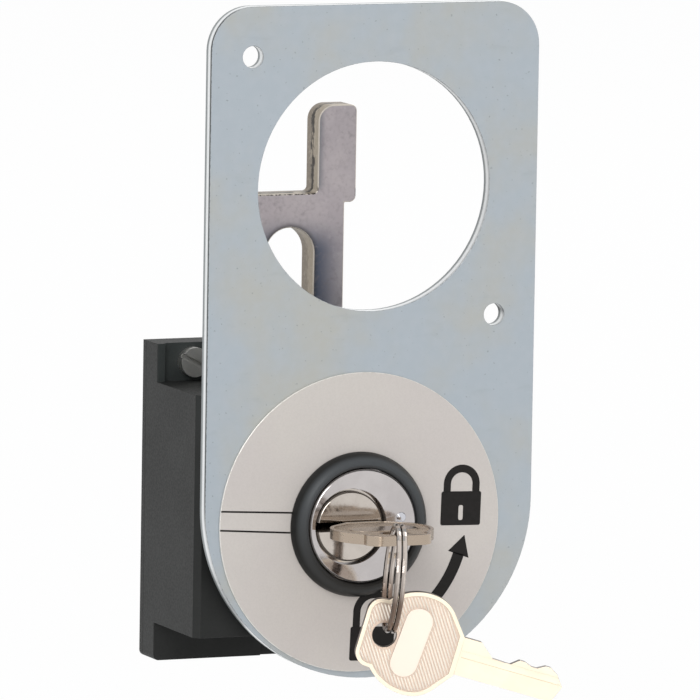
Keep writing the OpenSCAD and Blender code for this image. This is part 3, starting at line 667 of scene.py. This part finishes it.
def rounded_box(half_w, half_h, radius, steps=8):
    """The outline of a box with round corners, anticlockwise: a quarter turn about each corner's centre."""
    corner = np.arange(4).repeat(steps + 1)
    turn = np.pi / 2 * (corner + np.tile(np.linspace(0, 1, steps + 1), 4))
    centre_x = np.array((1, -1, -1, 1))[corner] * (half_w - radius)
    centre_z = np.array((1, 1, -1, -1))[corner] * (half_h - radius)
    return np.stack((centre_x + radius * np.cos(turn), centre_z + radius * np.sin(turn)), -1)


def lock_sign(name, place, turn, half_w, rise, right_gap):
    """A padlock sign: a body with a bare key slot, and a bow over it.

    The body is the band between a box with round corners and its slot. The bow is a half ring on
    two straight feet, raised by rise, and its right foot ends right_gap above the body.
    """
    half_h = 3.5
    stroke = 1.6
    bow_r = half_w - 1.22
    spring = half_h + 1.5 + rise
    foot = half_h - 0.05
    slot_drop = 0.9
    spin = math.radians(turn)
    across = (math.cos(spin), math.sin(spin))
    up = (-math.sin(spin), math.cos(spin))
    angles = np.linspace(np.pi, 0, 33)

    def put(x, z):
        return np.add(place, np.outer(x, across) + np.outer(z, up))

    def bow_row(radius):
        x = np.concatenate(((-radius,), radius * np.cos(angles), (radius,)))
        z = np.concatenate(((foot,), spring + radius * np.sin(angles), (foot + right_gap,)))
        return put(x, z)

    outer = rounded_box(half_w, half_h, 0.45)
    slot = rounded_box(0.5, 1.55, 0.4) - (0, slot_drop)
    body = ink_strip(put(*slot.T), put(*outer.T), loop=True)
    bow = ink_strip(bow_row(bow_r + stroke / 2), bow_row(bow_r - stroke / 2))
    print_sign(name, (body, bow))


def arrow_sign():
    """A bent arrow about the lock's axis: a band of constant width and a head with straight sides."""
    turns = np.linspace(-52, -17.2, 40)
    inner_r = 22.2
    outer_r = 24.7
    # Each side of the head runs from its barb to the tip: two turns, then two radii
    inner_side = polar(np.array((-17.5, -7.8)), np.array((21.05, 23.8)))
    outer_side = polar(np.array((-17.9, -7.8)), np.array((25.9, 23.9)))
    shaft = ink_strip(polar(turns, inner_r), polar(turns, outer_r))
    print_sign("turn_arrow", (shaft, ink_strip(inner_side, outer_side)))


def mark_line(name, start, end, width=0.36):
    """A thin printed line between two points: a band of one step, half its width to each side."""
    ends = np.array((start, end))
    run = ends[1] - ends[0]
    across = np.array((-run[1], run[0])) / np.hypot(*run) * width / 2
    print_sign(name, (ink_strip(ends + across, ends - across),))


lock_sign("sign_locked", (20.13, -66.68), -1.5, 4.42, 0, 0)
lock_sign("sign_open", (0.85, -93.8), -2.0, 4.85, 1.5, 1.95)
arrow_sign()
mark_line("zero_line_upper", (-32.72, -65.29), (-17.2, -66.13))
mark_line("zero_line_lower", (-32.9, -69.16), (-17.5, -70.22))


# Ridges on the keys

def in_field(x, y):
    """Is true at points of the key's plane on the sunk field, clear of rim, pad and ring hole.

    The field is the bow's outline drawn in by FIELD_INSET: a circle, cut by two tapered sides that
    a smaller circle rounds off, and a lobe with round corners about the ring hole.
    """
    off = np.abs(y)
    slope = math.hypot(1, TAPER)
    nose = BOW_REACH - FIELD_INSET * slope / TAPER
    tapered = (x < nose) & (x < nose - (off - SHOULDER) / TAPER)
    reach = (TAPER * (BOW_REACH - BOW_AHEAD) + SHOULDER) / slope - BOW_ROUND
    aside = math.sqrt((BOW_R - BOW_ROUND) ** 2 - reach ** 2)
    turn_x = (reach * TAPER - aside) / slope
    turn_y = (reach + aside * TAPER) / slope
    far_x = x - BOW_AHEAD - turn_x
    far_y = off - turn_y
    rounded = (far_x * turn_y > far_y * turn_x) & (far_x * TAPER + far_y > 0) & (far_y * TAPER > far_x)
    circle = np.hypot(x - BOW_AHEAD, y) < BOW_R - FIELD_INSET
    circle &= ~rounded | (np.hypot(far_x, far_y) < BOW_ROUND - FIELD_INSET)
    corner_x = x + LOBE_REACH - LOBE_CORNER
    corner_y = off - LOBE_HALF + LOBE_CORNER
    lobe = (x > FIELD_INSET - LOBE_REACH) & (x < BOW_AHEAD) & (off < LOBE_HALF - FIELD_INSET)
    lobe &= (corner_x > 0) | (corner_y < 0) | (np.hypot(corner_x, corner_y) < LOBE_CORNER - FIELD_INSET)
    pad_x = (x - PAD_AT) * math.cos(PAD_TURN) + y * math.sin(PAD_TURN)
    pad_y = y * math.cos(PAD_TURN) - (x - PAD_AT) * math.sin(PAD_TURN)
    beyond = np.maximum(np.abs(pad_y) - (PAD_HALF[1] - PAD_HALF[0]), 0)
    clear = (np.hypot(pad_x, beyond) > PAD_HALF[0] + PAD_CLEAR) & (np.hypot(x, y) > HOLE_R + HOLE_CLEAR)
    return ((circle & tapered) | lobe) & clear


def ridge_runs():
    """First and last points of all ridges: parallel lines at RIDGE_PITCH, kept where they cross the field."""
    lines = np.arange(-RIDGE_LINES, RIDGE_LINES + 1) * RIDGE_PITCH
    places = np.arange(-RIDGE_REACH, RIDGE_REACH, RIDGE_STEP)
    line, place = np.meshgrid(lines, places, indexing="ij")
    x = BOW_AHEAD - math.sin(RIDGE_ANGLE) * line + math.cos(RIDGE_ANGLE) * place
    y = math.cos(RIDGE_ANGLE) * line + math.sin(RIDGE_ANGLE) * place
    inside = in_field(x, y)
    inside[:, (0, -1)] = False
    change = np.flatnonzero(np.diff(inside.ravel().astype(int)))
    first = change[0::2] + 1
    last = change[1::2]
    kept = last - first > RIDGE_SHORTEST
    spots = np.stack((x.ravel(), y.ravel()), -1)
    return spots[first[kept]], spots[last[kept]]


def ridge_mesh():
    """Rounded ridges on both faces of a key: a five-point arch carried along each run, closed below.

    At a share t along a ridge the lift is sin(pi t) to the power 0.2; it scales the arch's height,
    RIDGE_H, and with a fixed part its width, RIDGE_W. The ridges of the back are those of the front
    with z turned over.
    """
    first, last = ridge_runs()
    share = np.linspace(0, 1, 9)
    lift = (np.abs(np.sin(np.pi * share)) + 1e-6) ** 0.2
    arch = np.array(((-0.5, 0.0), (-0.3, 0.75), (0.0, 1.0), (0.3, 0.75), (0.5, 0.0)))
    across = np.array((-math.sin(RIDGE_ANGLE), math.cos(RIDGE_ANGLE)))
    middle = first[:, None, :] + (last - first)[:, None, :] * share[:, None]
    spread = RIDGE_W * np.outer(0.35 + 0.65 * lift, arch[:, 0])
    flat = middle[:, :, None, :] + spread[:, :, None] * across
    rise = BOW_HALF_T - FIELD_D - RIDGE_ROOT + np.outer(RIDGE_H * lift + RIDGE_ROOT, arch[:, 1])
    height = np.broadcast_to(rise, flat.shape[:3])[..., None]
    front = np.concatenate((flat, height), -1).reshape(-1, 3)
    starts = np.arange(len(first))[:, None, None] * rise.size
    faces = []
    for one in sweep_faces(*rise.shape):
        every = (starts + one).reshape(-1, one.shape[1])
        faces += every[:, ::-1].tolist() + (every + len(front)).tolist()
    return np.concatenate((front, front * (1, 1, -1))), faces


def key_ridges(name, placing, material, body):
    """The ridges of one key, put where the key is."""
    points, faces = ridge_mesh()
    placed = points @ np.array(placing.to_3x3()).T + np.array(placing.translation)
    obj = new_piece(name, placed, faces, material, body)
    obj.data.shade_smooth()
    obj.data.set_sharp_from_angle(angle=math.radians(60))


key_ridges("lock_key_ridges", in_lock, shaded_key_nickel, "plug")
key_ridges("spare_key_ridges", hanging, lit_ridge_nickel, "spare")


# Floor, light and camera, with places in metres

FLOOR_Z = -0.1345
FLOOR_HALF = 12
CAMERA_AIM = Vector((-4.79, 0, -33.28)) * MM
CAMERA_AZIMUTH = math.radians(22.85)
CAMERA_RISE = math.radians(7.23)
CAMERA_ROLL = math.radians(0.93)
CAMERA_FAR = 2.0734
CAMERA_LENS = 524.8


def seen_white(tree):
    """Is 1 for rays from the camera, from gloss and through glass, and 0 for soft light."""
    path = add(tree, "LightPath", out=None)
    either = add(tree, "Math", (path["Is Camera Ray"], path["Is Glossy Ray"]), operation="MAXIMUM")
    return add(tree, "Math", (either, path["Is Transmission Ray"]), operation="MAXIMUM")


def white_world():
    """A white surround to look at, and an even grey one as light."""
    world = bpy.data.worlds.new("studio")
    bpy.context.scene.world = world
    world.use_nodes = True
    tree = world.node_tree
    tree.nodes.clear()
    light = add(tree, "Background", (linear("f4f6fa"), 0.68))
    white = add(tree, "Background", ((1, 1, 1, 1), 1.0))
    pick = add(tree, "MixShader", (seen_white(tree), light, white))
    add(tree, "OutputWorld", (pick,), out=None)


def pale_floor():
    """A matt pale floor under the hanging key.

    Part of its white is given to the eye, so that it meets the white surround and a faint shadow stays.
    """
    mat = bpy.data.materials.new("pale_floor")
    mat.use_nodes = True
    tree = mat.node_tree
    tree.nodes.clear()
    matt = add(tree, "BsdfDiffuse", (linear("f6f6f6"),))
    glow = add(tree, "Emission", ((1, 1, 1, 1), 1.0))
    share = add(tree, "Math", (seen_white(tree), 0.96), operation="MULTIPLY")
    both = add(tree, "MixShader", (share, matt, glow))
    add(tree, "OutputMaterial", (both,), out=None)
    mesh = bpy.data.meshes.new("floor")
    corners = np.array(((-1, -1), (1, -1), (1, 1), (-1, 1))) * FLOOR_HALF
    mesh.from_pydata(np.insert(corners.astype(float), 2, FLOOR_Z, axis=1).tolist(), [], [(0, 1, 2, 3)])
    mesh.materials.append(mat)
    obj = bpy.data.objects.new("floor", mesh)
    bpy.context.scene.collection.objects.link(obj)


def soft_box(name, place, aim, size, watts, colour):
    """A rectangular area lamp at a place, turned to a point."""
    lamp = bpy.data.lights.new(name, "AREA")
    lamp.shape = "RECTANGLE"
    lamp.size = size[0]
    lamp.size_y = size[1]
    lamp.energy = watts
    lamp.color = linear(colour)[:3]
    obj = bpy.data.objects.new(name, lamp)
    obj.location = place
    obj.rotation_euler = (Vector(aim) - Vector(place)).to_track_quat("-Z", "Y").to_euler()
    bpy.context.scene.collection.objects.link(obj)


def place_camera():
    """Puts the camera where the photograph was taken from."""
    level = math.cos(CAMERA_RISE)
    look = Vector((math.sin(CAMERA_AZIMUTH) * level, math.cos(CAMERA_AZIMUTH) * level,
                   -math.sin(CAMERA_RISE)))
    right = Vector((math.cos(CAMERA_AZIMUTH), -math.sin(CAMERA_AZIMUTH), 0))
    up = right.cross(look)
    turned_right = right * math.cos(CAMERA_ROLL) + up * math.sin(CAMERA_ROLL)
    turned_up = up * math.cos(CAMERA_ROLL) - right * math.sin(CAMERA_ROLL)
    spot = CAMERA_AIM - look * CAMERA_FAR
    data = bpy.data.cameras.new("camera")
    data.lens = CAMERA_LENS
    data.sensor_width = 36
    data.sensor_fit = "HORIZONTAL"
    data.clip_start = 0.01
    data.clip_end = 20
    obj = bpy.data.objects.new("camera", data)
    obj.matrix_world = Matrix((
        (turned_right.x, turned_up.x, -look.x, spot.x),
        (turned_right.y, turned_up.y, -look.y, spot.y),
        (turned_right.z, turned_up.z, -look.z, spot.z),
        (0, 0, 0, 1)))
    bpy.context.scene.collection.objects.link(obj)
    bpy.context.scene.camera = obj


bpy.context.scene.view_settings.view_transform = "Standard"
white_world()
pale_floor()
soft_box("key_light", (-0.9, -1.1, 0.9), (0, 0, -0.03), (0.9, 0.9), 10.0, "ffffff")
soft_box("front_light", (-0.25, -1.3, -0.22), (0, 0, -0.09), (0.5, 0.35), 3.0, "fff6ea")
soft_box("back_light", (0.9, 1.0, 0.8), (0, 0, -0.03), (0.9, 0.9), 4.0, "ffffff")
place_camera()
